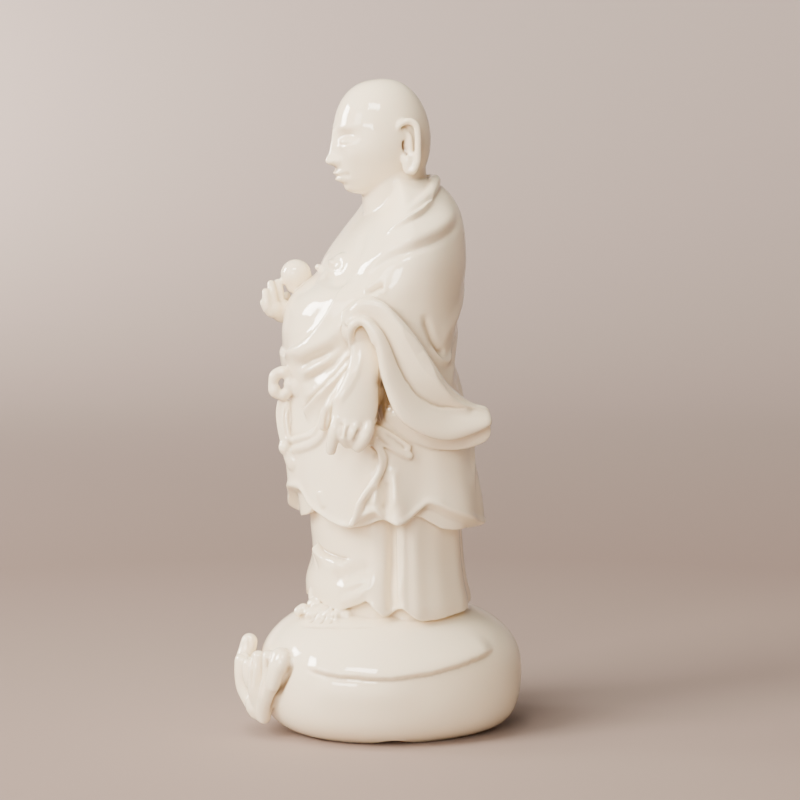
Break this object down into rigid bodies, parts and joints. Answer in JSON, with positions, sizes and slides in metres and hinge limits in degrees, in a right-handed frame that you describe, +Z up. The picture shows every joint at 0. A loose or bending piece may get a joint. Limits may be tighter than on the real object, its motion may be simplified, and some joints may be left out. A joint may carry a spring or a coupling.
{
  "type": "budai figure",
  "caption": "Standing budai in white glazed porcelain, on a tied cloth sack, holding up a ball, with wind-blown robe and sash.",
  "frame": {"origin": "on the flat underside of the sack, below the axis of the standing figure", "axes": "+Z up along the standing figure; the figure faces -Y and its left side is +X"},
  "size_m": [0.128, 0.1461, 0.3245],
  "materials": {
    "white_glaze": "warm ivory-white porcelain under a thick clear gloss glaze, warmer where it pools in folds; bare fired clay on the underside"
  },
  "bodies": {
    "root": {"budai_figure": "white_glaze"}
  },
  "joints": []
}
